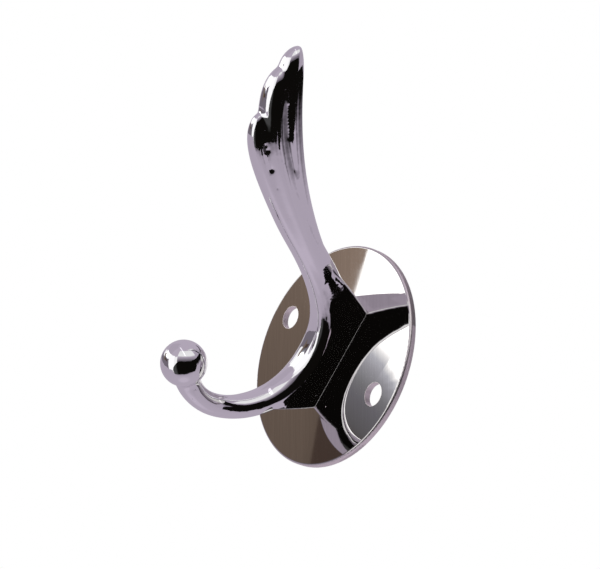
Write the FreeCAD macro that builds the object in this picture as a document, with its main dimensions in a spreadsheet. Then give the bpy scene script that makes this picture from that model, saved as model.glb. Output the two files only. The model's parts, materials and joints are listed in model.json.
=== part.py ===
"""Double robe hook: a cast hook with a three-feathered upper prong and a ball-ended lower prong,
riveted to a round plate that screws to a wall.

The frame: the wall is the plane Y = 0, the hook stands out from it towards -Y, and +Z is up.
The origin is the middle of the plate's back. "Out" is the distance from the wall, "up" the height
above the plate's centre. All lengths are millimetres and all angles degrees. An angle on a curve of
the side view starts at straight out and rises from there.
"""
import FreeCAD
import Part
import Sketcher
import math
import os

SIZES = (
    # The plate
    ("plate_diameter", 48.0, "across the round plate"),
    ("plate_thickness", 1.5, "of the plate"),
    ("rim_radius", 0.5, "rounding of the plate's front edge"),
    ("screw_hole", 5.0, "diameter of a wall screw's hole"),
    ("screw_spacing", 36.0, "between the two screw holes"),
    # The two rivets cast on the foot
    ("rivet_diameter", 4.0, "of the shank through the plate"),
    ("rivet_spacing", 13.0, "between the two rivets"),
    ("rivet_clearance", 0.1, "all round the shank in its hole"),
    ("rivet_sink", 0.8, "depth of the countersunk head, flush with the plate's back"),
    ("rivet_root", 1.5, "depth to which the shank runs into the foot"),
    # The web that joins the prongs to the foot
    ("foot_top", 12.3, "height of the foot's upper edge"),
    ("foot_bottom", 11.1, "depth of the foot's lower edge below the centre"),
    ("foot_width", 7.8, "across the foot at the plate"),
    ("web_end_width", 5.0, "across the web at its far end"),
    ("web_back_radius", 75.0, "bow of the web's upper edge"),
    ("web_under_radius", 60.0, "bow of the web's lower edge"),
    ("web_edge", 0.6, "radius along the web's upper and lower edges"),
    # The stem: the bar from the ball, round the inner curve and up to the front feather
    ("curve_out", 23.0, "out to the centre of the inner curve"),
    ("curve_drop", 1.4, "depth of the centre of the inner curve below the plate's centre"),
    ("curve_radius", 17.0, "of the inner curve, at the bar's middle"),
    ("cup_radius", 13.7, "of the lower prong's rise to the ball, at the bar's middle"),
    ("ball_angle", 328.0, "where the ball sits on that rise"),
    ("cup_angle", 263.0, "where that rise meets the inner curve"),
    ("root_angle", 236.0, "where the lower prong leaves the web"),
    ("heel_angle", 180.0, "where the inner curve comes nearest to the plate"),
    ("neck_angle", 125.5, "where the inner curve ends below the upper prong"),
    ("ball_diameter", 9.6, "of the ball"),
    ("prong_depth", 4.8, "of the lower prong in the side view"),
    ("prong_flare", 0.1, "by which the lower prong is wider than deep"),
    ("root_depth", 5.1, "of the lower prong where it leaves the web"),
    ("root_flare", 1.2, "by which it is wider than deep there"),
    ("heel_depth", 5.5, "of the bar beside the foot"),
    ("heel_flare", 1.9, "by which it is wider than deep there"),
    ("neck_depth", 4.8, "of the bar at the neck"),
    ("neck_flare", 1.2, "by which it is wider than deep there"),
    # The feathers: each bends from its root, by way of a pull point, to its tip
    ("front_root_out", 13.1, "front feather's root"),
    ("front_root_up", 13.3, "front feather's root"),
    ("front_pull_out", 39.5, "front feather's pull point"),
    ("front_pull_up", 29.2, "front feather's pull point"),
    ("front_tip_out", 44.3, "front feather's tip"),
    ("front_tip_up", 36.0, "front feather's tip"),
    ("front_root_depth", 3.9, "of the front feather at its root"),
    ("front_pull_depth", 4.1, "towards which the front feather's depth is drawn on the way"),
    ("front_tip_depth", 3.9, "of the front feather at its tip"),
    ("front_root_flare", 1.4, "by which the front feather's root is wider than deep"),
    ("front_pull_flare", 0.9, "towards which that flare is drawn on the way"),
    ("front_tip_flare", 0.3, "by which the front feather's tip is wider than deep"),
    ("middle_root_out", 8.6, "middle feather's root"),
    ("middle_root_up", 12.3, "middle feather's root"),
    ("middle_pull_out", 39.1, "middle feather's pull point"),
    ("middle_pull_up", 30.4, "middle feather's pull point"),
    ("middle_tip_out", 45.1, "middle feather's tip"),
    ("middle_tip_up", 44.3, "middle feather's tip"),
    ("middle_root_depth", 5.3, "of the middle feather at its root"),
    ("middle_pull_depth", 6.7, "towards which the middle feather's depth is drawn on the way"),
    ("middle_tip_depth", 5.6, "of the middle feather at its tip"),
    ("middle_root_flare", 0.8, "by which the middle feather's root is wider than deep"),
    ("middle_pull_flare", 0.7, "towards which that flare is drawn on the way"),
    ("middle_tip_flare", 0.6, "by which the middle feather's tip is wider than deep"),
    ("back_root_out", 10.3, "back feather's root"),
    ("back_root_up", 13.8, "back feather's root"),
    ("back_pull_out", 32.2, "back feather's pull point"),
    ("back_pull_up", 26.7, "back feather's pull point"),
    ("back_tip_out", 44.6, "back feather's tip"),
    ("back_tip_up", 50.0, "back feather's tip"),
    ("back_root_depth", 4.3, "of the back feather at its root"),
    ("back_pull_depth", 5.6, "towards which the back feather's depth is drawn on the way"),
    ("back_tip_depth", 5.3, "of the back feather at its tip"),
    ("back_root_flare", 0.3, "by which the back feather's root is wider than deep"),
    ("back_pull_flare", 0.7, "towards which that flare is drawn on the way"),
    ("back_tip_flare", 0.4, "by which the back feather's tip is wider than deep"),
    ("front_end_length", 5.9, "of the front feather's rounded end beyond its tip"),
    ("middle_end_length", 7.8, "of the middle feather's rounded end beyond its tip"),
    ("back_end_length", 6.4, "of the back feather's rounded end beyond its tip"),
    ("end_slant", 0.67, "how much of its narrowing a feather's end takes from its front edge"),
)

# Where sections stand along a stretch of bar, as shares of it
CUP_SHARES = (0.0, 0.5)
ROOT_SHARES = (0.0, 0.5)
HEEL_SHARES = (0.0, 0.5)
NECK_SHARES = (0.0, 0.5, 0.8)
FRONT_SHARES = (0.12, 0.25, 0.5, 0.75, 1.0)
FEATHER_SHARES = (0.0, 0.25, 0.5, 0.75, 1.0)
END_SHARES = (0.45, 0.75, 0.92, 0.99)

# Where the web's far end lies along the back feather, as a share of it
WEB_SHARE = 0.2

# How near two coordinates count as the same place
TOUCH = 0.001

# Turns a cylinder's or a cone's axis from straight up to straight at the wall
TO_THE_WALL = FreeCAD.Rotation(FreeCAD.Vector(1, 0, 0), -90)

doc = FreeCAD.newDocument("double_robe_hook")
sheet = doc.addObject("Spreadsheet::Sheet", "Sizes")


class Term:
    """A size held both as a number and as an expression of the sheet's cells."""

    def __init__(self, value, text):
        self.value = value
        self.text = text

    def __add__(self, other):
        return Term(self.value + other.value, "(%s + %s)" % (self.text, other.text))

    def __sub__(self, other):
        return Term(self.value - other.value, "(%s - %s)" % (self.text, other.text))

    def __mul__(self, other):
        return Term(self.value * other.value, "(%s * %s)" % (self.text, other.text))

    def __truediv__(self, other):
        return Term(self.value / other.value, "(%s / %s)" % (self.text, other.text))

    def __neg__(self):
        return Term(-self.value, "(-%s)" % self.text)


def number(value):
    """A fixed number as a term."""
    return Term(value, "(%.9g)" % value)


def size(name):
    """A named cell of the sheet as a term."""
    return Term(float(sheet.get(name)), "Sizes." + name)


def half(term):
    """Half of a size."""
    return term / number(2)


def cosine(angle):
    """Cosine of an angle in degrees."""
    return Term(math.cos(math.radians(angle.value)), "cos(%s * 1deg)" % angle.text)


def sine(angle):
    """Sine of an angle in degrees."""
    return Term(math.sin(math.radians(angle.value)), "sin(%s * 1deg)" % angle.text)


def lean_of(out, up):
    """How far a direction of the side view leans out from straight up."""
    return "atan2(%s; %s)" % (out.text, up.text)


def blend(start, end, share):
    """A value part of the way from one term to another."""
    return start * number(1 - share) + end * number(share)


def on_arc(centre, radius, angle):
    """A place on an arc of the side view, as out and up."""
    return centre[0] + radius * cosine(angle), centre[1] + radius * sine(angle)


def make_sheet():
    """Write every driving dimension into its own named cell."""
    for row, (name, value, note) in enumerate(SIZES, 1):
        sheet.set("A%d" % row, name)
        sheet.set("B%d" % row, str(value))
        sheet.set("C%d" % row, note)
        sheet.setAlias("B%d" % row, name)
    doc.recompute()


def origin_plane(body, role):
    """One of a body's own origin planes."""
    return next(feature for feature in body.Origin.OriginFeatures if feature.Role == role)


def new_sketch(body, name, role):
    """An empty sketch on one of the body's origin planes."""
    sketch = body.newObject("Sketcher::SketchObject", name)
    sketch.AttachmentSupport = [(origin_plane(body, role), "")]
    sketch.MapMode = "FlatFace"
    return sketch


def measure(sketch, kind, places, term):
    """Add a dimension to a sketch and tie it to a term."""
    constraint = sketch.addConstraint(Sketcher.Constraint(kind, *places, term.value))
    sketch.setExpression("Constraints[%d]" % constraint, term.text)


def place(sketch, edge, point, spot):
    """Fix one point of an edge at its two coordinates."""
    for kind, axis, term in (("DistanceX", -2, spot[0]), ("DistanceY", -1, spot[1])):
        if abs(term.value) < TOUCH:
            sketch.addConstraint(Sketcher.Constraint("PointOnObject", edge, point, axis))
        elif term.value > 0:
            measure(sketch, kind, (-1, 1, edge, point), term)
        else:
            measure(sketch, kind, (edge, point, -1, 1), -term)


def outline(sketch, corners, bows):
    """A closed outline through corners: straight edges, and arcs where a bow gives a radius."""
    points = [FreeCAD.Vector(u.value, v.value, 0) for u, v in corners]
    starts = []
    for start, end, bow in zip(points, points[1:] + points[:1], bows):
        edge = sketch.addGeometry(bowed(start, end, bow.value) if bow else Part.LineSegment(start, end))
        begins = sketch.getPoint(edge, 1).distanceToPoint(start) < TOUCH
        starts.append((edge, 1, 2) if begins else (edge, 2, 1))
        if bow:
            measure(sketch, "Radius", (edge,), bow_size(bow))
    for (edge, near, far), (follower, begin, close) in zip(starts, starts[1:] + starts[:1]):
        sketch.addConstraint(Sketcher.Constraint("Coincident", edge, far, follower, begin))
    for (edge, near, far), spot in zip(starts, corners):
        place(sketch, edge, near, spot)


def bowed(start, end, radius):
    """An arc between two points: a positive radius bows to the left of the way from start to end."""
    chord = end - start
    reach = math.sqrt(radius * radius - chord.Length * chord.Length / 4)
    rise = math.copysign(abs(radius) - reach, radius)
    left = FreeCAD.Vector(-chord.y, chord.x, 0).normalize()
    return Part.Arc(start, (start + end) * 0.5 + left * rise, end)


def bow_size(bow):
    """The plain radius of a bow."""
    return bow if bow.value > 0 else -bow


def ring(sketch, centre, diameter):
    """A circle at a place on a sketch."""
    spot = FreeCAD.Vector(centre[0].value, centre[1].value, 0)
    edge = sketch.addGeometry(Part.Circle(spot, FreeCAD.Vector(0, 0, 1), diameter.value / 2))
    place(sketch, edge, 3, centre)
    measure(sketch, "Diameter", (edge,), diameter)


def section(body, name, spot, lean, depth, width):
    """An oval across a bar, at a place of the side view and square to the bar's direction."""
    sketch = new_sketch(body, name, "XY_Plane")
    tilt = FreeCAD.Rotation(FreeCAD.Vector(1, 0, 0), 1)
    sketch.AttachmentOffset = FreeCAD.Placement(FreeCAD.Vector(0, 0, 0), tilt)
    sketch.setExpression("AttachmentOffset.Base.y", (-spot[0]).text)
    sketch.setExpression("AttachmentOffset.Base.z", spot[1].text)
    sketch.setExpression("AttachmentOffset.Rotation.Angle", lean)
    sketch.addGeometry(Part.Ellipse(FreeCAD.Vector(0, 0, 0), width.value / 2, depth.value / 2))
    sketch.exposeInternalGeometry(0)
    sketch.addConstraint(Sketcher.Constraint("Coincident", 0, 3, -1, 1))
    sketch.addConstraint(Sketcher.Constraint("Horizontal", 1))
    measure(sketch, "Distance", (1,), width)
    measure(sketch, "Distance", (2,), depth)
    return sketch


def loft(body, name, sections):
    """A smooth bar through a row of sections."""
    bar = body.newObject("PartDesign::AdditiveLoft", name)
    bar.Profile = sections[0]
    bar.Sections = sections[1:]


def inner_curve():
    """Centre of the inner curve in the side view."""
    return size("curve_out"), -size("curve_drop")


def cup_centre():
    """Centre of the lower prong's rise, which leaves the inner curve smoothly."""
    return on_arc(inner_curve(), size("curve_radius") - size("cup_radius"), size("cup_angle"))


def arc_sections(body, name, shares, centre, radius, angles, depths, flares):
    """Sections of a bar along an arc of the side view."""
    sections = []
    for share in shares:
        angle = blend(angles[0], angles[1], share)
        depth = blend(depths[0], depths[1], share)
        width = depth + blend(flares[0], flares[1], share)
        lean = "180deg - %s * 1deg" % angle.text
        label = "%s_%d" % (name, len(sections))
        sections.append(section(body, label, on_arc(centre, radius, angle), lean, depth, width))
    return sections


def drawn(start, pull, end, share):
    """A value part of the way from a start to an end, drawn towards a third value on the way."""
    return blend(blend(start, pull, share), blend(pull, end, share), share)


def feather_sizes(name, kind):
    """One kind of a feather's sizes at its root, its pull point and its tip."""
    return [size("%s_%s_%s" % (name, point, kind)) for point in ("root", "pull", "tip")]


def feather_spot(name, share):
    """A place on a feather's path, as out and up."""
    return drawn(*feather_sizes(name, "out"), share), drawn(*feather_sizes(name, "up"), share)


def feather_sections(body, name, shares):
    """Sections along a feather from its root to its tip, and those of its rounded end."""
    out = feather_sizes(name, "out")
    up = feather_sizes(name, "up")
    sections = []
    for share in shares:
        ahead = blend(out[1] - out[0], out[2] - out[1], share)
        rise = blend(up[1] - up[0], up[2] - up[1], share)
        deep = drawn(*feather_sizes(name, "depth"), share)
        wide = deep + drawn(*feather_sizes(name, "flare"), share)
        label = "%s_%d" % (name, len(sections))
        sections.append(section(body, label, feather_spot(name, share), lean_of(ahead, rise), deep, wide))
    return sections + end_sections(body, name)


def end_sections(body, name):
    """Sections that narrow a feather's end: an oval end whose front edge slants to its back edge."""
    out, up = feather_spot(name, 1)
    ahead = size(name + "_tip_out") - size(name + "_pull_out")
    rise = size(name + "_tip_up") - size(name + "_pull_up")
    stride = Term(math.hypot(ahead.value, rise.value), "sqrt(%s ^ 2 + %s ^ 2)" % (ahead.text, rise.text))
    depth = size(name + "_tip_depth")
    width = depth + size(name + "_tip_flare")
    sections = []
    for share in END_SHARES:
        narrow = number(math.sqrt(1 - share * share))
        along = size(name + "_end_length") * number(share) / stride
        back = half(depth) * (number(1) - narrow) * size("end_slant") / stride
        spot = (out + ahead * along - rise * back, up + rise * along + ahead * back)
        label = "%s_end_%d" % (name, len(sections))
        sections.append(section(body, label, spot, lean_of(ahead, rise), depth * narrow, width * narrow))
    return sections


def make_stem():
    """The bar from the ball, round the inner curve and up to the front feather's tip."""
    body = doc.addObject("PartDesign::Body", "stem")
    curve = inner_curve()
    radius = size("curve_radius")
    cup, root, heel, neck = (size(name + "_angle") for name in ("cup", "root", "heel", "neck"))
    depths = [size(name + "_depth") for name in ("prong", "root", "heel", "neck")]
    flares = [size(name + "_flare") for name in ("prong", "root", "heel", "neck")]
    ball = size("ball_angle")
    sections = arc_sections(body, "rise", CUP_SHARES, cup_centre(), size("cup_radius"), (ball, cup),
                            (depths[0], depths[0]), (flares[0], flares[0]))
    sections += arc_sections(body, "prong", ROOT_SHARES, curve, radius, (cup, root), depths[0:2], flares[0:2])
    sections += arc_sections(body, "heel", HEEL_SHARES, curve, radius, (root, heel), depths[1:3], flares[1:3])
    sections += arc_sections(body, "nape", NECK_SHARES, curve, radius, (heel, neck), depths[2:4], flares[2:4])
    sections += feather_sections(body, "front", FRONT_SHARES)
    loft(body, "stem_bar", sections)
    return body


def make_feather(name):
    """One of the two feathers that lie behind the front one."""
    body = doc.addObject("PartDesign::Body", name + "_feather")
    loft(body, name + "_vane", feather_sections(body, name, FEATHER_SHARES))
    return body


def make_web():
    """The flat-sided web between the foot and the bar, narrower away from the plate."""
    body = doc.addObject("PartDesign::Body", "web")
    side = new_sketch(body, "web_side", "YZ_Plane")
    face = size("plate_thickness")
    radius = size("curve_radius")
    spots = (
        (face, -size("foot_bottom")),
        (face, size("foot_top")),
        feather_spot("back", WEB_SHARE),
        on_arc(inner_curve(), radius, size("neck_angle")),
        on_arc(inner_curve(), radius, size("root_angle")),
    )
    bows = (None, -size("web_back_radius"), None, radius, -size("web_under_radius"))
    outline(side, [(-out, up) for out, up in spots], bows)
    block = body.newObject("PartDesign::Pad", "web_block")
    block.Profile = side
    block.SideType = "Symmetric"
    block.setExpression("Length", size("foot_width").text)
    doc.recompute()
    taper_web(body)
    doc.recompute()
    round_web(body)
    return body


def taper_web(body):
    """Cut both sides of the web so that it narrows from the foot to its far end."""
    plan = new_sketch(body, "web_plan", "XY_Plane")
    wide = half(size("foot_width"))
    narrow = half(size("web_end_width"))
    face = -size("plate_thickness")
    end = -feather_spot("back", WEB_SHARE)[0]
    outline(plan, [(wide, face), (wide, end), (narrow, end)], (None, None, None))
    outline(plan, [(-wide, face), (-wide, end), (-narrow, end)], (None, None, None))
    cut = body.newObject("PartDesign::Pocket", "web_taper")
    cut.Profile = plan
    cut.Type = "ThroughAll"
    cut.SideType = "Symmetric"


def round_web(body):
    """Soften the long upper and lower edges of the web."""
    base = body.Tip
    narrow = half(size("web_end_width")).value
    face = -size("plate_thickness").value
    names = []
    for index, edge in enumerate(base.Shape.Edges, 1):
        ends = [vertex.Point for vertex in edge.Vertexes]
        meets_foot = [abs(end.y - face) < TOUCH for end in ends]
        if any(meets_foot) and not all(meets_foot) and min(abs(end.x) for end in ends) > narrow - TOUCH:
            names.append("Edge%d" % index)
    rounding = body.newObject("PartDesign::Fillet", "web_edges")
    rounding.Base = (base, names)
    rounding.setExpression("Radius", size("web_edge").text)


def make_ball():
    """The ball on the end of the lower prong."""
    ball = doc.addObject("Part::Sphere", "ball")
    out, up = on_arc(cup_centre(), size("cup_radius"), size("ball_angle"))
    ball.setExpression("Radius", half(size("ball_diameter")).text)
    ball.setExpression("Placement.Base.y", (-out).text)
    ball.setExpression("Placement.Base.z", up.text)
    return ball


def rivet_heights():
    """Heights of the two rivets, evenly about the middle of the foot."""
    middle = half(size("foot_top") - size("foot_bottom"))
    return [middle - half(size("rivet_spacing")), middle + half(size("rivet_spacing"))]


def make_rivets():
    """The two rivets cast on the foot, with heads that fill the countersinks in the plate's back."""
    pieces = []
    rooted = -(size("plate_thickness") + size("rivet_root"))
    sink = size("rivet_sink")
    hole = half(size("rivet_diameter")) + size("rivet_clearance")
    for index, height in enumerate(rivet_heights()):
        shank = doc.addObject("Part::Cylinder", "rivet_shank_%d" % index)
        shank.setExpression("Radius", half(size("rivet_diameter")).text)
        shank.setExpression("Height", (-rooted).text)
        head = doc.addObject("Part::Cone", "rivet_head_%d" % index)
        head.setExpression("Radius1", hole.text)
        head.setExpression("Radius2", (hole + sink).text)
        head.setExpression("Height", sink.text)
        for piece, start in ((shank, rooted), (head, -sink)):
            piece.Placement = FreeCAD.Placement(FreeCAD.Vector(0, 0, 0), TO_THE_WALL)
            piece.setExpression("Placement.Base.y", start.text)
            piece.setExpression("Placement.Base.z", height.text)
            pieces.append(piece)
    return pieces


def make_hook():
    """The whole casting: feathers, bar, web, ball and rivets joined one after another into one solid."""
    whole = make_feather("middle")
    for piece in [make_feather("back"), make_stem(), make_web(), make_ball()] + make_rivets():
        joint = doc.addObject("Part::Fuse", "with_" + piece.Name)
        joint.Base = whole
        joint.Tool = piece
        doc.recompute()
        keep_all(joint, (whole, piece))
        whole = joint
    whole.Label = "hook"
    return whole


def keep_all(joint, pieces):
    """Stop if a joint has lost any of the pieces that were joined."""
    box = joint.Shape.optimalBoundingBox()
    box.enlarge(TOUCH * 10)
    for piece in pieces:
        if not box.isInside(piece.Shape.optimalBoundingBox()) or joint.Shape.Volume < piece.Shape.Volume:
            raise RuntimeError("%s lost %s" % (joint.Name, piece.Name))


def make_plate():
    """The round plate: a disc with a rounded front edge, two screw holes and two countersunk rivet holes."""
    body = doc.addObject("PartDesign::Body", "back_plate")
    disc = new_sketch(body, "plate_disc", "XZ_Plane")
    zero = number(0)
    across = half(size("screw_spacing"))
    rivet_hole = size("rivet_diameter") + number(2) * size("rivet_clearance")
    ring(disc, (zero, zero), size("plate_diameter"))
    ring(disc, (across, zero), size("screw_hole"))
    ring(disc, (-across, zero), size("screw_hole"))
    for height in rivet_heights():
        ring(disc, (zero, height), rivet_hole)
    blank = body.newObject("PartDesign::Pad", "plate_blank")
    blank.Profile = disc
    blank.setExpression("Length", size("plate_thickness").text)
    doc.recompute()
    rounding = body.newObject("PartDesign::Fillet", "plate_rim")
    rounding.Base = (blank, round_edges(blank, -size("plate_thickness"), half(size("plate_diameter"))))
    rounding.setExpression("Radius", size("rim_radius").text)
    doc.recompute()
    sinking = body.newObject("PartDesign::Chamfer", "plate_sinks")
    sinking.Base = (rounding, round_edges(rounding, zero, half(rivet_hole)))
    sinking.setExpression("Size", size("rivet_sink").text)
    return body


def round_edges(feature, depth, radius):
    """Names of a feature's circular edges of one radius that lie at one depth."""
    names = []
    for index, edge in enumerate(feature.Shape.Edges, 1):
        flat = all(abs(vertex.Y - depth.value) < TOUCH for vertex in edge.Vertexes)
        if flat and isinstance(edge.Curve, Part.Circle) and abs(edge.Curve.Radius - radius.value) < TOUCH:
            names.append("Edge%d" % index)
    return names


def check(parts):
    """Stop if any object failed to build or any sub-part is not one sound solid."""
    for item in doc.Objects:
        if "Invalid" in item.State or "Error" in item.State:
            raise RuntimeError("%s did not build: %s" % (item.Name, item.State))
    for part in parts:
        shape = part.Shape
        if shape.isNull() or not shape.isValid() or len(shape.Solids) != 1:
            raise RuntimeError("%s is not one sound solid" % part.Label)


make_sheet()
sub_parts = [make_hook(), make_plate()]
doc.recompute()
check(sub_parts)
os.makedirs("parts", exist_ok=True)
for sub_part in sub_parts:
    sub_part.Shape.exportStep("parts/%s.step" % sub_part.Label)
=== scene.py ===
"""A double robe hook: a bright plated casting on a round brushed plate, on a pale stage."""

import json
import math

import bpy
import numpy as np
from mathutils import Matrix, Vector

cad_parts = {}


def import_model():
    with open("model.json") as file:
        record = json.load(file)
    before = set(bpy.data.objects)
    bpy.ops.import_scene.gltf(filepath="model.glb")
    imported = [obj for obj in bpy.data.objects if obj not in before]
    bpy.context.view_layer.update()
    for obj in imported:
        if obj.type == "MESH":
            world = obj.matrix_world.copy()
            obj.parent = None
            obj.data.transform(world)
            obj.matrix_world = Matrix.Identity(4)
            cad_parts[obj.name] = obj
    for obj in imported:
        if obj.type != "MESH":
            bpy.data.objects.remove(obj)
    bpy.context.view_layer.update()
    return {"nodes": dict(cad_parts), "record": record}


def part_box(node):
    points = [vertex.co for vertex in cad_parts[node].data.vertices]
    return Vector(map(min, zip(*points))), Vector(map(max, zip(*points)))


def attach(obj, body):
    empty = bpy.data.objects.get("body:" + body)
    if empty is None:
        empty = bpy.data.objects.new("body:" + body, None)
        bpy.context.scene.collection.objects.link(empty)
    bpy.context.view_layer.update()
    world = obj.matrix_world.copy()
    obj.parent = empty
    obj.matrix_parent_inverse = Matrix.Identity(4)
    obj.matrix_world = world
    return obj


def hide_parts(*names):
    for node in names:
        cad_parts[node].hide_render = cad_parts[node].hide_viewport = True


MILLIMETRES = 1000.0

# The picture in pixels, the lens, and the viewer's distance, shift and turns in metres and degrees
PICTURE_WIDTH = 600
PICTURE_HEIGHT = 569
FOCAL_PIXELS = 2271.9
VIEW_DISTANCE = 0.479
VIEW_SHIFT = (0.007547, -0.01518)
VIEW_ANGLES = (51.85, 10.67, 28.78)
SENSOR_WIDTH = 36.0
LENS_REACH = (0.01, 100.0)

# The casting's skin in millimetres, and the web's share of its width at places along Y
SKIN_GRAIN = 0.21
SKIN_PASSES = 8
SKIN_STEP = 0.5
GROOVE_PASSES = 120
GROOVE_STEP = 0.5
POLISH_PASSES = 80
POLISH_STEPS = (0.5, -0.507)
POLISH_START = -2.5
POLISH_BLEND = 2.0
WEB_TAPER = ((-26.0, 1.0), (-14.0, 0.94), (-1.55, 1.08), (-1.45, 1.0))

# The meshes' joining gap and the fades at the plate's edges in metres, and its sharp angle in degrees
WELD_GAP = 1e-6
RIM_FADE = (0.00025, 0.00005)
BORE_FADE = (0.0001, 0.00003)
SHARP_ANGLE = 35.0
FACE_WEIGHT = 100

# The finishes: colours, the cut edges' roughness, and the grain's turn in degrees and spacing by axis
CHROME = (0.86, 0.85, 0.87)
CHROME_PIT = (0.30, 0.28, 0.27)
STEEL = (0.70, 0.68, 0.67)
STEEL_NICK = (0.95, 0.94, 0.92)
# The cut edges' colour is brighter and pinker than the steel: a painted highlight and painted reflection
STEEL_CUT_HIGHLIGHT = (0.88, 0.82, 0.81)
CUT_ROUGHNESS = 0.42
GRAIN_TURN = 44.0
GRAIN_SPACING = (6500.0, 300.0, 90.0)

# The stage: colours, its middle and the floor in metres, and the strength of the even fill
LAVENDER = (0.50, 0.44, 0.53)
SOOT = (0.004, 0.0035, 0.003)
WALNUT = (0.20, 0.15, 0.12)
STONE = (0.34, 0.30, 0.29)
WHITE = (1.0, 1.0, 1.0)
FLOOR_GREY = (0.9, 0.9, 0.9)
STAGE_CENTRE = Vector((0.0, -0.020, 0.012))
FLOOR_EDGE = 8.0
FLOOR_LEVEL = -3.2
FILL_STRENGTH = 0.7

# The table: its border as turns to the right and rises, soft and dark between two of the turns
TABLE_REACH = 1.6
TABLE_BORDER = ((-180, 8), (-150, 5), (-128, 1), (-110, -5), (-90, -15), (-75, -24), (-62, -28),
                (-56, -45), (-40, -52), (-10, -54), (15, -53.5), (35, -47.5), (45, -44), (55, -40.5),
                (62, -37), (70, -33), (78, -28), (85, -23), (92, -18), (97, -10), (105, -2), (120, 6),
                (150, 10), (180, 8))
BORDER_LIFTS = (1.5, -1.5, -6.0)
SOFT_BORDER = (-57, 60)
SOFT_SHARES = (0.10, 0.50, 0.85)
PLAIN_SHARES = (0.9, 0.9, 0.9)
TABLE_DEPTHS = ((-68.0, 0.95), (-78.0, 1.1), (-89.5, 1.1))

# The dark room as turns, low rises and high rises, a little brighter at its left end
ROOM_REACH = 1.5
DARK_ROOM = ((-57, -46, -28), (-52, -48, -20), (-42, -52, -8), (-32, -53, 4), (-22, -54, 9),
             (0, -54, 10), (15, -54, 10), (35, -48, 10), (45, -44, 10), (55, -41, 9), (62, -37, 4),
             (70, -34, -14))
BRIGHT_END = -40
BRIGHT_SHARE = 0.06

# The wall above the dark room: lifts over the room's top, then rises, with colours and shares
FRONT_REACH = 1.55
FRONT_TURNS = (-35, 75)
FRONT_LIFTS = ((-1.0, LAVENDER, 0.15), (8.0, LAVENDER, 0.45))
FRONT_RISES = ((30.0, LAVENDER, 0.9), (36.0, WHITE, 0.9), (62.0, WHITE, 0.85))

# The dark panel close by, as turns, low rises and high rises, with a soft lower edge past one turn
PANEL_REACH = 0.08
DARK_PANEL = ((30, -28.5, 6), (38, -27, 6), (44, -24, 7), (50, -18.5, 9), (56, -15, 12),
              (62, -14.5, 15), (68, -15.5, 18), (72, -13, 21), (77, -5, 22), (82, -3, 24),
              (88, -1.5, 26), (94, 0.5, 28), (98, 1, 29), (104, 4, 30), (112, 10, 31), (120, 14.5, 31),
              (130, 18.5, 31), (150, 24.5, 33), (165, 27, 36))
SOFT_PANEL = 58
CRISP_EDGE = 1.0
SOFT_EDGE = 6.0
EDGE_SIDES = (-1.0, 0.0, 1.0)
EDGE_SHARES = (0.85, 0.4)

# The round walls: name, reach, turns, rises, colour and share
ROUND_WALLS = (("white_screen", 1.9, (-78, -70, -60, -46), (-29, 0, 32), WHITE, 1.15),
               ("far_window", 1.9, (-122, -110, -95, -78), (15, 25, 34), WHITE, 1.15),
               ("dim_wall", 1.9, (-150, -130, -110, -95, -78), (-34, -10, 15), LAVENDER, 0.35),
               ("left_wall", 1.7, (-150, -125, -100, -75), (35, 50, 70), LAVENDER, 0.9),
               ("right_wall", 1.95, (58, 75, 90, 105, 125), (-40, 0, 45), LAVENDER, 0.85))

# The flat walls in metres right of, above and in front of the hook: name, share of lavender and corners
FLAT_WALLS = (("ceiling", 1.0, ((-2.5, 1.8, -3.0), (3.0, 1.8, -3.0), (3.0, 1.8, 2.4), (-2.5, 1.8, 2.4))),
              ("back_wall", 0.95, ((-2.0, -0.6, -2.2), (3.0, -0.6, -2.2), (3.0, 1.5, -2.2),
                                   (-2.0, 1.5, -2.2))))
SIDE_PLACE = 2.6
SIDE_ENDS = (-0.2, -3.0)
SIDE_BANDS = ((-0.5, LAVENDER), (0.15, LAVENDER), (0.16, STONE), (0.8, STONE))

# The board and the window that the plate mirrors, in pixels, the board's edge as its start and lean
BOARD_REACH = 0.40
BOARD_EDGE = (444.2, -0.306)
BOARD_COLUMNS = (140, 300)
BOARD_ROWS = ((200, (1.0, 1.3, 1.9)), (300, (1.0, 1.1, 1.7)), (400, (0.95, 0.9, 0.8)),
              (520, (0.85, 0.75, 0.75)))
WINDOW_SLANT = 0.9
WINDOW_RIGHT = 540
WINDOW_TONES = ((-240, (2.4, 2.4, 2.4)), (0, (1.9, 1.9, 1.9)), (8, (1.2, 1.2, 1.22)),
                (19, (0.64, 0.65, 0.72)), (34, (0.44, 0.44, 0.49)), (57, (0.25, 0.25, 0.27)),
                (75, (0.19, 0.185, 0.21)), (108, (0.14, 0.135, 0.145)), (134, (0.08, 0.055, 0.045)),
                (220, (0.075, 0.05, 0.04)))

# The lamps: name, place in metres right of, above and in front of the hook, width, height and power
LAMPS = (("left_box", (-0.77, 0.38, -0.13), 0.45, 0.24, 0.25),
         ("top_box", (-0.05, 0.8, 0.45), 0.9, 0.06, 0.1))


def view_axes():
    """Right, up and towards the viewer, as directions of the row frame."""
    azimuth, elevation, roll = (math.radians(angle) for angle in VIEW_ANGLES)
    level = Vector((math.cos(azimuth), math.sin(azimuth), 0.0))
    toward = Vector((math.sin(azimuth) * math.cos(elevation), -math.cos(azimuth) * math.cos(elevation),
                     math.sin(elevation)))
    upright = toward.cross(level)
    right = level * math.cos(roll) + upright * math.sin(roll)
    up = upright * math.cos(roll) - level * math.sin(roll)
    return right, up, toward


def view_point():
    """Where the viewer stands."""
    right, up, toward = view_axes()
    return toward * VIEW_DISTANCE - right * VIEW_SHIFT[0] - up * VIEW_SHIFT[1]


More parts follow.
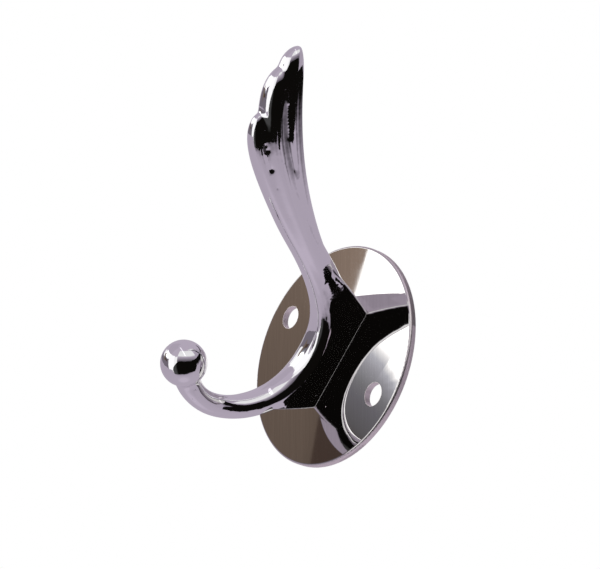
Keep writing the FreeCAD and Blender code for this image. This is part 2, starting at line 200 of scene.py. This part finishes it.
def make_camera():
    """The camera at the picture's viewing angle."""
    right, up, toward = view_axes()
    lens = bpy.data.cameras.new("view_lens")
    lens.sensor_fit = "HORIZONTAL"
    lens.sensor_width = SENSOR_WIDTH
    lens.lens = SENSOR_WIDTH * FOCAL_PIXELS / PICTURE_WIDTH
    lens.clip_start, lens.clip_end = LENS_REACH
    camera = bpy.data.objects.new("view_camera", lens)
    place = Matrix((right, up, toward)).transposed().to_4x4()
    place.translation = view_point()
    camera.matrix_world = place
    bpy.context.scene.collection.objects.link(camera)
    bpy.context.scene.camera = camera


def add_node(tree, kind, settings=None, inputs=None):
    """A node with its settings and the values of its unlinked sockets, by name or number."""
    node = tree.nodes.new(kind)
    for name, value in (settings or {}).items():
        setattr(node, name, value)
    for name, value in (inputs or {}).items():
        node.inputs[name].default_value = value
    return node


def new_material(name):
    """A material with an empty tree and its output node."""
    material = bpy.data.materials.new(name)
    material.use_nodes = True
    material.node_tree.nodes.clear()
    return material, material.node_tree, add_node(material.node_tree, "ShaderNodeOutputMaterial")


def new_group(name, values, results):
    """A shared effect with its two end nodes: a place and named values go in and results come out."""
    tree = bpy.data.node_groups.new(name, "ShaderNodeTree")
    tree.interface.new_socket(name="Vector", in_out="INPUT", socket_type="NodeSocketVector")
    for label, value in values.items():
        socket = tree.interface.new_socket(name=label, in_out="INPUT", socket_type="NodeSocketFloat")
        socket.default_value = value
    for label in results:
        tree.interface.new_socket(name=label, in_out="OUTPUT", socket_type="NodeSocketFloat")
    return tree, add_node(tree, "NodeGroupInput"), add_node(tree, "NodeGroupOutput")


def speck_group():
    """Scattered pits in a finish: a mask that is 1 inside a pit and a height that falls there."""
    tree, start, end = new_group("finish_specks", {"Spacing": 400.0, "Size": 0.08, "Share": 0.4},
                                 ("Mask", "Height"))
    cells = add_node(tree, "ShaderNodeTexVoronoi")
    chosen = add_node(tree, "ShaderNodeMath", {"operation": "LESS_THAN"})
    parts = add_node(tree, "ShaderNodeSeparateColor")
    width = add_node(tree, "ShaderNodeMath", {"operation": "MULTIPLY"})
    depth = add_node(tree, "ShaderNodeMapRange", {"interpolation_type": "SMOOTHSTEP"},
                     {"To Min": 1.0, "To Max": 0.0})
    mask = add_node(tree, "ShaderNodeMath", {"operation": "MULTIPLY"})
    height = add_node(tree, "ShaderNodeMath", {"operation": "SUBTRACT"}, {0: 1.0})
    link = tree.links.new
    link(start.outputs["Vector"], cells.inputs["Vector"])
    link(start.outputs["Spacing"], cells.inputs["Scale"])
    link(cells.outputs["Color"], parts.inputs["Color"])
    link(parts.outputs["Red"], chosen.inputs[0])
    link(start.outputs["Share"], chosen.inputs[1])
    link(parts.outputs["Green"], width.inputs[0])
    link(start.outputs["Size"], width.inputs[1])
    link(cells.outputs["Distance"], depth.inputs["Value"])
    link(width.outputs["Value"], depth.inputs["From Max"])
    link(depth.outputs["Result"], mask.inputs[0])
    link(chosen.outputs["Value"], mask.inputs[1])
    link(mask.outputs["Value"], height.inputs[1])
    link(mask.outputs["Value"], end.inputs["Mask"])
    link(height.outputs["Value"], end.inputs["Height"])
    return tree


def haze_group():
    """Uneven polish: a slow wander of roughness between two values."""
    tree, start, end = new_group("polish_haze", {"Spacing": 150.0, "Bright": 0.03, "Dull": 0.10},
                                 ("Roughness",))
    cloud = add_node(tree, "ShaderNodeTexNoise", None, {"Detail": 4.0, "Roughness": 0.6})
    span = add_node(tree, "ShaderNodeMapRange", None, {"From Min": 0.35, "From Max": 0.7})
    link = tree.links.new
    link(start.outputs["Vector"], cloud.inputs["Vector"])
    link(start.outputs["Spacing"], cloud.inputs["Scale"])
    link(cloud.outputs["Fac"], span.inputs["Value"])
    link(start.outputs["Bright"], span.inputs["To Min"])
    link(start.outputs["Dull"], span.inputs["To Max"])
    link(span.outputs["Result"], end.inputs["Roughness"])
    return tree


def use_group(tree, group, inputs):
    """A shared effect placed in a material with its own values."""
    return add_node(tree, "ShaderNodeGroup", {"node_tree": group}, inputs)


def bare_metal(tree):
    """The metal that a finish colours and roughens."""
    return add_node(tree, "ShaderNodeBsdfPrincipled", None, {"Metallic": 1.0, "Specular IOR Level": 0.5})


def chrome_plating(specks, haze):
    """Polished plating on a casting, with fine pits and a slight ripple."""
    material, tree, out = new_material("chrome_plating")
    link = tree.links.new
    where = add_node(tree, "ShaderNodeTexCoord")
    metal = bare_metal(tree)
    pits = use_group(tree, specks, {"Spacing": 520.0, "Size": 0.085, "Share": 0.10})
    polish = use_group(tree, haze, {"Spacing": 260.0, "Bright": 0.02, "Dull": 0.055})
    tone = add_node(tree, "ShaderNodeMix", {"data_type": "RGBA"})
    tone.inputs["A"].default_value = (*CHROME, 1.0)
    tone.inputs["B"].default_value = (*CHROME_PIT, 1.0)
    ripple = add_node(tree, "ShaderNodeTexNoise", None, {"Scale": 420.0, "Detail": 2.0, "Roughness": 0.5})
    wave = add_node(tree, "ShaderNodeBump", None, {"Strength": 0.06, "Distance": 0.0004})
    dent = add_node(tree, "ShaderNodeBump", None, {"Strength": 0.5, "Distance": 0.00012})
    for node in (pits, polish, ripple):
        link(where.outputs["Object"], node.inputs["Vector"])
    link(pits.outputs["Mask"], tone.inputs["Factor"])
    link(tone.outputs["Result"], metal.inputs["Base Color"])
    link(polish.outputs["Roughness"], metal.inputs["Roughness"])
    link(ripple.outputs["Fac"], wave.inputs["Height"])
    link(pits.outputs["Height"], dent.inputs["Height"])
    link(wave.outputs["Normal"], dent.inputs["Normal"])
    link(dent.outputs["Normal"], metal.inputs["Normal"])
    link(metal.outputs["BSDF"], out.inputs["Surface"])
    return material


def measure_plate(record):
    """The plate's front and radius and its screw holes' place and radius, in metres, from the frame."""
    low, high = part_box("back_plate")
    holes = next(mount["dims"] for mount in record["mounts"] if mount["name"] == "wall_screws")
    return {"front": low.y, "radius": high.x, "hole_place": holes["spacing_x_mm"] / 2.0 / MILLIMETRES,
            "hole_radius": holes["hole_r_mm"] / MILLIMETRES}


def cut_edges(tree, where, plate):
    """A value of 1 on the plate's outer rim and its screw holes' walls, which are duller than its face and
    get a painted highlight.
    """
    flat = add_node(tree, "ShaderNodeVectorMath", {"operation": "MULTIPLY"}, {1: (1.0, 0.0, 1.0)})
    side = add_node(tree, "ShaderNodeVectorMath", {"operation": "ABSOLUTE"})
    apart = add_node(tree, "ShaderNodeVectorMath", {"operation": "SUBTRACT"},
                     {1: (plate["hole_place"], 0.0, 0.0)})
    span = add_node(tree, "ShaderNodeVectorMath", {"operation": "LENGTH"})
    bore = add_node(tree, "ShaderNodeVectorMath", {"operation": "LENGTH"})
    rim = add_node(tree, "ShaderNodeMapRange", {"interpolation_type": "SMOOTHSTEP"},
                   {"From Min": plate["radius"] - RIM_FADE[0], "From Max": plate["radius"] - RIM_FADE[1]})
    wall = add_node(tree, "ShaderNodeMapRange", {"interpolation_type": "SMOOTHSTEP"},
                    {"From Min": plate["hole_radius"] + BORE_FADE[0],
                     "From Max": plate["hole_radius"] + BORE_FADE[1]})
    either = add_node(tree, "ShaderNodeMath", {"operation": "MAXIMUM"})
    link = tree.links.new
    link(where.outputs["Object"], flat.inputs[0])
    link(flat.outputs["Vector"], span.inputs[0])
    link(flat.outputs["Vector"], side.inputs[0])
    link(side.outputs["Vector"], apart.inputs[0])
    link(apart.outputs["Vector"], bore.inputs[0])
    link(span.outputs["Value"], rim.inputs["Value"])
    link(bore.outputs["Value"], wall.inputs["Value"])
    link(rim.outputs["Result"], either.inputs[0])
    link(wall.outputs["Result"], either.inputs[1])
    return either.outputs["Value"]


def brushed_steel(specks, haze, plate):
    """Bright stainless with a fine straight grain, a few nicks, an uneven polish, and duller cut edges
    painted brighter.
    """
    material, tree, out = new_material("brushed_steel")
    link = tree.links.new
    where = add_node(tree, "ShaderNodeTexCoord")
    metal = bare_metal(tree)
    turn = add_node(tree, "ShaderNodeMapping", {"vector_type": "POINT"},
                    {"Rotation": (0.0, math.radians(GRAIN_TURN), 0.0)})
    draw = add_node(tree, "ShaderNodeMapping", {"vector_type": "POINT"}, {"Scale": GRAIN_SPACING})
    grain = add_node(tree, "ShaderNodeTexNoise", None, {"Scale": 1.0, "Detail": 3.0, "Roughness": 0.6})
    shade = add_node(tree, "ShaderNodeMapRange", None,
                     {"From Min": 0.3, "From Max": 0.7, "To Min": 0.88, "To Max": 1.0})
    tone = add_node(tree, "ShaderNodeMix", {"data_type": "RGBA", "blend_type": "MULTIPLY"}, {"Factor": 1.0})
    tone.inputs["A"].default_value = (*STEEL, 1.0)
    nick = add_node(tree, "ShaderNodeMix", {"data_type": "RGBA"})
    nick.inputs["B"].default_value = (*STEEL_NICK, 1.0)
    pits = use_group(tree, specks, {"Spacing": 300.0, "Size": 0.09, "Share": 0.25})
    polish = use_group(tree, haze, {"Spacing": 120.0, "Bright": 0.015, "Dull": 0.035})
    cut = cut_edges(tree, where, plate)
    # Painted highlight and reflection: rim and hole walls coloured brighter and pinker; their roughness is
    # their own
    edge_highlight = add_node(tree, "ShaderNodeMix", {"data_type": "RGBA"})
    edge_highlight.inputs["B"].default_value = (*STEEL_CUT_HIGHLIGHT, 1.0)
    dull = add_node(tree, "ShaderNodeMix", {"data_type": "FLOAT"}, {"B": CUT_ROUGHNESS})
    lines = add_node(tree, "ShaderNodeBump", None, {"Strength": 0.006, "Distance": 0.00002})
    dent = add_node(tree, "ShaderNodeBump", None, {"Strength": 0.6, "Distance": 0.00015})
    for node in (turn, pits, polish):
        link(where.outputs["Object"], node.inputs["Vector"])
    link(turn.outputs["Vector"], draw.inputs["Vector"])
    link(draw.outputs["Vector"], grain.inputs["Vector"])
    link(grain.outputs["Fac"], shade.inputs["Value"])
    link(shade.outputs["Result"], tone.inputs["B"])
    link(tone.outputs["Result"], nick.inputs["A"])
    link(pits.outputs["Mask"], nick.inputs["Factor"])
    link(cut, edge_highlight.inputs["Factor"])
    link(nick.outputs["Result"], edge_highlight.inputs["A"])
    link(edge_highlight.outputs["Result"], metal.inputs["Base Color"])
    link(cut, dull.inputs["Factor"])
    link(polish.outputs["Roughness"], dull.inputs["A"])
    link(dull.outputs["Result"], metal.inputs["Roughness"])
    link(grain.outputs["Fac"], lines.inputs["Height"])
    link(pits.outputs["Height"], dent.inputs["Height"])
    link(lines.outputs["Normal"], dent.inputs["Normal"])
    link(dent.outputs["Normal"], metal.inputs["Normal"])
    link(metal.outputs["BSDF"], out.inputs["Surface"])
    return material


def settle(piece):
    """Turn what a piece's modifiers make into its plain mesh."""
    bpy.context.view_layer.update()
    seen = piece.evaluated_get(bpy.context.evaluated_depsgraph_get())
    mesh = bpy.data.meshes.new_from_object(seen)
    mesh.name = piece.name
    piece.modifiers.clear()
    piece.data = mesh


def merged_copy(node, name):
    """A copy of a part's mesh with its loose triangles joined."""
    mesh = node.data.copy()
    mesh.name = name
    mesh.materials.clear()
    piece = bpy.data.objects.new(name, mesh)
    bpy.context.scene.collection.objects.link(piece)
    weld = piece.modifiers.new("weld", "WELD")
    weld.merge_threshold = WELD_GAP
    settle(piece)
    return piece


def shade_smooth(mesh):
    """Shade every face of a mesh as part of a curve."""
    mesh.polygons.foreach_set("use_smooth", [True] * len(mesh.polygons))


def coat(mesh, material):
    """Give a mesh its one finish."""
    mesh.materials.clear()
    mesh.materials.append(material)


def polish_skin(mesh):
    """Fill the grooves and inner corners a little, even out the skin's ripple and taper the web."""
    count = len(mesh.vertices)
    flat = np.empty(count * 3)
    mesh.vertices.foreach_get("co", flat)
    spots = flat.reshape(-1, 3).copy()
    mesh.vertices.foreach_get("normal", flat)
    normals = flat.reshape(-1, 3).copy()
    ends = np.empty(len(mesh.edges) * 2, dtype=np.intc)
    mesh.edges.foreach_get("vertices", ends)
    first, second = ends[0::2], ends[1::2]
    degree = np.bincount(ends, minlength=count)[:, None]
    # The foot by the plate is left unpolished, and the polish comes in over a short way in front of it
    clear = np.clip((POLISH_START - spots[:, 1:2]) / POLISH_BLEND, 0, 1)

    def to_middle():
        """The way from each spot to the middle of its neighbours."""
        total = [np.bincount(first, spots[second, axis], count)
                 + np.bincount(second, spots[first, axis], count) for axis in range(3)]
        return clear * (np.stack(total, 1) / degree - spots)

    for _ in range(GROOVE_PASSES):
        rise = (to_middle() * normals).sum(1, keepdims=True)
        spots += GROOVE_STEP * normals * np.maximum(rise, 0.0)
    # Each step in is followed by a slightly longer one out, so the skin keeps its size
    for _ in range(POLISH_PASSES):
        for step in POLISH_STEPS:
            spots += step * to_middle()
    places, shares = zip(*WEB_TAPER)
    spots[:, 0] *= np.interp(spots[:, 1], places, shares)
    mesh.vertices.foreach_set("co", spots.ravel())
    mesh.update()


def make_casting(node, material):
    """The hook's skin: the part's shape with its creases softened as plating softens them."""
    piece = merged_copy(node, "casting")
    piece.data.transform(Matrix.Scale(MILLIMETRES, 4))
    skin = piece.modifiers.new("skin", "REMESH")
    skin.mode = "VOXEL"
    skin.voxel_size = SKIN_GRAIN
    polish = piece.modifiers.new("polish", "SMOOTH")
    polish.factor = SKIN_STEP
    polish.iterations = SKIN_PASSES
    settle(piece)
    polish_skin(piece.data)
    piece.data.transform(Matrix.Scale(1.0 / MILLIMETRES, 4))
    shade_smooth(piece.data)
    coat(piece.data, material)
    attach(piece, "root")
    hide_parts("hook")


def make_plate(node, material):
    """The round plate with smooth rims and flat faces."""
    piece = merged_copy(node, "wall_plate")
    shade_smooth(piece.data)
    piece.data.set_sharp_from_angle(angle=math.radians(SHARP_ANGLE))
    level = piece.modifiers.new("level", "WEIGHTED_NORMAL")
    level.keep_sharp = True
    level.weight = FACE_WEIGHT
    settle(piece)
    coat(piece.data, material)
    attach(piece, "root")
    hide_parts("back_plate")


def stand(right, up, near):
    """A place on the stage, in metres right of, above and in front of the hook as the viewer sees it."""
    axes = view_axes()
    return STAGE_CENTRE + axes[0] * right + axes[1] * up + axes[2] * near


def aim(turn, rise, reach):
    """A place on the stage at a distance, in degrees round to the right and up as the viewer sees them."""
    turn, rise = math.radians(turn), math.radians(rise)
    return stand(reach * math.cos(rise) * math.sin(turn), reach * math.sin(rise),
                 reach * math.cos(rise) * math.cos(turn))


def seen_in_plate(x, y, front):
    """The place that the plate mirrors at a point of the picture, as far off as the board is."""
    right, up, toward = view_axes()
    across = (x - PICTURE_WIDTH / 2.0) / FOCAL_PIXELS
    above = (PICTURE_HEIGHT / 2.0 - y) / FOCAL_PIXELS
    ray = (right * across + up * above - toward).normalized()
    eye = view_point()
    spot = eye + ray * ((front - eye.y) / ray.y)
    return spot + Vector((ray.x, -ray.y, ray.z)) * BOARD_REACH


def card_paint(name):
    """A plain glowing card, with the colour of each corner."""
    material, tree, out = new_material(name)
    colour = add_node(tree, "ShaderNodeAttribute", {"attribute_name": "card_colour"})
    glow = add_node(tree, "ShaderNodeEmission", None, {"Strength": 1.0})
    tree.links.new(colour.outputs["Color"], glow.inputs["Color"])
    tree.links.new(glow.outputs["Emission"], out.inputs["Surface"])
    return material


def make_card(name, paint, corners, colours, faces=None):
    """A card beside the hook that only its mirror-like faces show."""
    mesh = bpy.data.meshes.new(name)
    mesh.from_pydata([tuple(corner) for corner in corners], [], faces or [tuple(range(len(corners)))])
    layer = mesh.color_attributes.new("card_colour", "FLOAT_COLOR", "POINT")
    for entry, colour in zip(layer.data, colours):
        entry.color = (*colour, 1.0)
    mesh.materials.append(paint)
    card = bpy.data.objects.new(name, mesh)
    bpy.context.scene.collection.objects.link(card)
    card.visible_camera = False
    card.visible_diffuse = False
    card.visible_shadow = False
    card.visible_transmission = False


def make_strips(name, paint, rows, colours):
    """A card made of strips between rows of places, each row with one colour or a colour for each place."""
    corners = [place for row in rows for place in row]
    across = len(rows[0])
    tones = []
    for colour in colours:
        tones.extend([colour] * across if isinstance(colour[0], float) else colour)
    faces = []
    for row in range(len(rows) - 1):
        for step in range(across - 1):
            low = row * across + step
            faces.append((low, low + 1, low + across + 1, low + across))
    make_card(name, paint, corners, tones, faces)


def shaded(colour, share):
    """A share of a colour."""
    return tuple(share * part for part in colour)


def make_table(paint):
    """The lavender table all round below the hook, with a soft dark border in front."""
    left, right = SOFT_BORDER
    shares = [SOFT_SHARES if left < turn < right else PLAIN_SHARES for turn, _ in TABLE_BORDER]
    rows = [[aim(turn, rise + lift, TABLE_REACH) for turn, rise in TABLE_BORDER] for lift in BORDER_LIFTS]
    colours = [[shaded(LAVENDER, share) for share in row] for row in zip(*shares)]
    for rise, share in TABLE_DEPTHS:
        rows.append([aim(turn, rise, TABLE_REACH) for turn, _ in TABLE_BORDER])
        colours.append(shaded(LAVENDER, share))
    make_strips("table", paint, rows, colours)


def make_dark_room(paint):
    """The dark room in front of the hook."""
    foot = [aim(turn, low, ROOM_REACH) for turn, low, _ in DARK_ROOM]
    head = [aim(turn, high, ROOM_REACH) for turn, _, high in DARK_ROOM]
    tones = [shaded(WHITE, BRIGHT_SHARE) if turn < BRIGHT_END else SOOT for turn, _, _ in DARK_ROOM]
    make_strips("dark_room", paint, [foot, head], [tones, tones])


def make_front_wall(paint):
    """The wall above the dark room, which brightens upwards."""
    left, right = FRONT_TURNS
    tops = [(turn, high) for turn, _, high in DARK_ROOM if left < turn < right]
    rows = [[aim(turn, high + lift, FRONT_REACH) for turn, high in tops] for lift, _, _ in FRONT_LIFTS]
    rows += [[aim(turn, rise, FRONT_REACH) for turn, _ in tops] for rise, _, _ in FRONT_RISES]
    colours = [shaded(colour, share) for _, colour, share in FRONT_LIFTS + FRONT_RISES]
    make_strips("front_wall", paint, rows, colours)


def make_dark_panel(paint):
    """The dark panel close by at the right, whose lower edge fades out on the side away from the viewer."""
    edge = [(turn, low, SOFT_EDGE if turn > SOFT_PANEL else CRISP_EDGE) for turn, low, _ in DARK_PANEL]
    rows = [[aim(turn, low + side * soft, PANEL_REACH) for turn, low, soft in edge] for side in EDGE_SIDES]
    rows.append([aim(turn, high, PANEL_REACH) for turn, _, high in DARK_PANEL])
    fade = [[shaded(LAVENDER, share) if turn > SOFT_PANEL else SOOT for turn, _, _ in DARK_PANEL]
            for share in EDGE_SHARES]
    make_strips("dark_panel", paint, rows, (*fade, SOOT, SOOT))


def make_walls(paint):
    """The white screen at the left, the lavender walls and the ceiling."""
    for name, reach, turns, rises, colour, share in ROUND_WALLS:
        rows = [[aim(turn, rise, reach) for turn in turns] for rise in rises]
        make_strips(name, paint, rows, [shaded(colour, share)] * len(rises))
    for name, share, corners in FLAT_WALLS:
        colours = [shaded(LAVENDER, share)] * len(corners)
        make_card(name, paint, [stand(*corner) for corner in corners], colours)
    rows = [[stand(SIDE_PLACE, up, near) for near in SIDE_ENDS] for up, _ in SIDE_BANDS]
    make_strips("side_wall", paint, rows, [colour for _, colour in SIDE_BANDS])


def board_edge(y):
    """Where the board's straight edge is mirrored, across the picture at a height of it."""
    return BOARD_EDGE[0] + BOARD_EDGE[1] * y


def make_boards(paint, front):
    """The brown board that the plate mirrors, and the window beside it that dims along slanting lines."""
    board = [[seen_in_plate(x, y, front) for x in (*BOARD_COLUMNS, board_edge(y))] for y, _ in BOARD_ROWS]
    tones = [[shaded(WALNUT, share) for share in shares] for _, shares in BOARD_ROWS]
    make_strips("board", paint, board, tones)
    window = []
    for drop, _ in WINDOW_TONES:
        left = board_edge(drop) / (1.0 - BOARD_EDGE[1] * WINDOW_SLANT)
        window.append([seen_in_plate(x, drop + WINDOW_SLANT * x, front) for x in (left, WINDOW_RIGHT)])
    make_strips("window", paint, window, [tone for _, tone in WINDOW_TONES])


def make_cards(front):
    """All that the metal mirrors: the table, the dark room, the panel, the walls and the boards."""
    paint = card_paint("card_paint")
    make_table(paint)
    make_dark_room(paint)
    make_front_wall(paint)
    make_dark_panel(paint)
    make_walls(paint)
    make_boards(paint, front)


def show_to_viewer(tree, shown, plain, out):
    """Show one shader straight, in mirrors and through glass, and give all other light the plain one."""
    path = add_node(tree, "ShaderNodeLightPath")
    first = add_node(tree, "ShaderNodeMath", {"operation": "MAXIMUM"})
    both = add_node(tree, "ShaderNodeMath", {"operation": "MAXIMUM"})
    mix = add_node(tree, "ShaderNodeMixShader")
    link = tree.links.new
    link(path.outputs["Is Camera Ray"], first.inputs[0])
    link(path.outputs["Is Glossy Ray"], first.inputs[1])
    link(first.outputs["Value"], both.inputs[0])
    link(path.outputs["Is Transmission Ray"], both.inputs[1])
    link(both.outputs["Value"], mix.inputs["Fac"])
    link(plain, mix.inputs[1])
    link(shown, mix.inputs[2])
    link(mix.outputs["Shader"], out.inputs["Surface"])


def make_world():
    """A white surround for the viewer and for mirrors, and an even fill for the rest."""
    world = bpy.data.worlds.new("pale_surround")
    world.use_nodes = True
    tree = world.node_tree
    tree.nodes.clear()
    out = add_node(tree, "ShaderNodeOutputWorld")
    shown = add_node(tree, "ShaderNodeBackground", None, {"Color": (*WHITE, 1.0), "Strength": 1.0})
    fill = add_node(tree, "ShaderNodeBackground", None, {"Color": (*WHITE, 1.0), "Strength": FILL_STRENGTH})
    show_to_viewer(tree, shown.outputs["Background"], fill.outputs["Background"], out)
    bpy.context.scene.world = world


def make_floor():
    """A plain pale floor far below the hook."""
    material, tree, out = new_material("pale_floor")
    matt = add_node(tree, "ShaderNodeBsdfDiffuse", None, {"Color": (*FLOOR_GREY, 1.0)})
    glow = add_node(tree, "ShaderNodeEmission", None, {"Color": (*WHITE, 1.0), "Strength": 1.0})
    show_to_viewer(tree, glow.outputs["Emission"], matt.outputs["BSDF"], out)
    mesh = bpy.data.meshes.new("floor")
    sides = ((-1, -1), (1, -1), (1, 1), (-1, 1))
    mesh.from_pydata([(x * FLOOR_EDGE, y * FLOOR_EDGE, FLOOR_LEVEL) for x, y in sides], [], [(0, 1, 2, 3)])
    mesh.materials.append(material)
    floor = bpy.data.objects.new("floor", mesh)
    bpy.context.scene.collection.objects.link(floor)


def make_lamps():
    """Two soft boxes: one beside the hook on the left and one above it."""
    for name, place, width, height, power in LAMPS:
        lamp = bpy.data.lights.new(name, "AREA")
        lamp.shape = "RECTANGLE"
        lamp.size = width
        lamp.size_y = height
        lamp.energy = power
        box = bpy.data.objects.new(name, lamp)
        box.location = stand(*place)
        box.rotation_euler = (STAGE_CENTRE - box.location).to_track_quat("-Z", "Y").to_euler()
        box.visible_camera = False
        bpy.context.scene.collection.objects.link(box)


def main():
    """Load the frame, dress its two parts and set the stage round them."""
    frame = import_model()
    bpy.context.scene.view_settings.view_transform = "Standard"
    plate = measure_plate(frame["record"])
    specks = speck_group()
    haze = haze_group()
    make_casting(frame["nodes"]["hook"], chrome_plating(specks, haze))
    make_plate(frame["nodes"]["back_plate"], brushed_steel(specks, haze, plate))
    make_world()
    make_floor()
    make_cards(plate["front"])
    make_lamps()
    make_camera()


main()
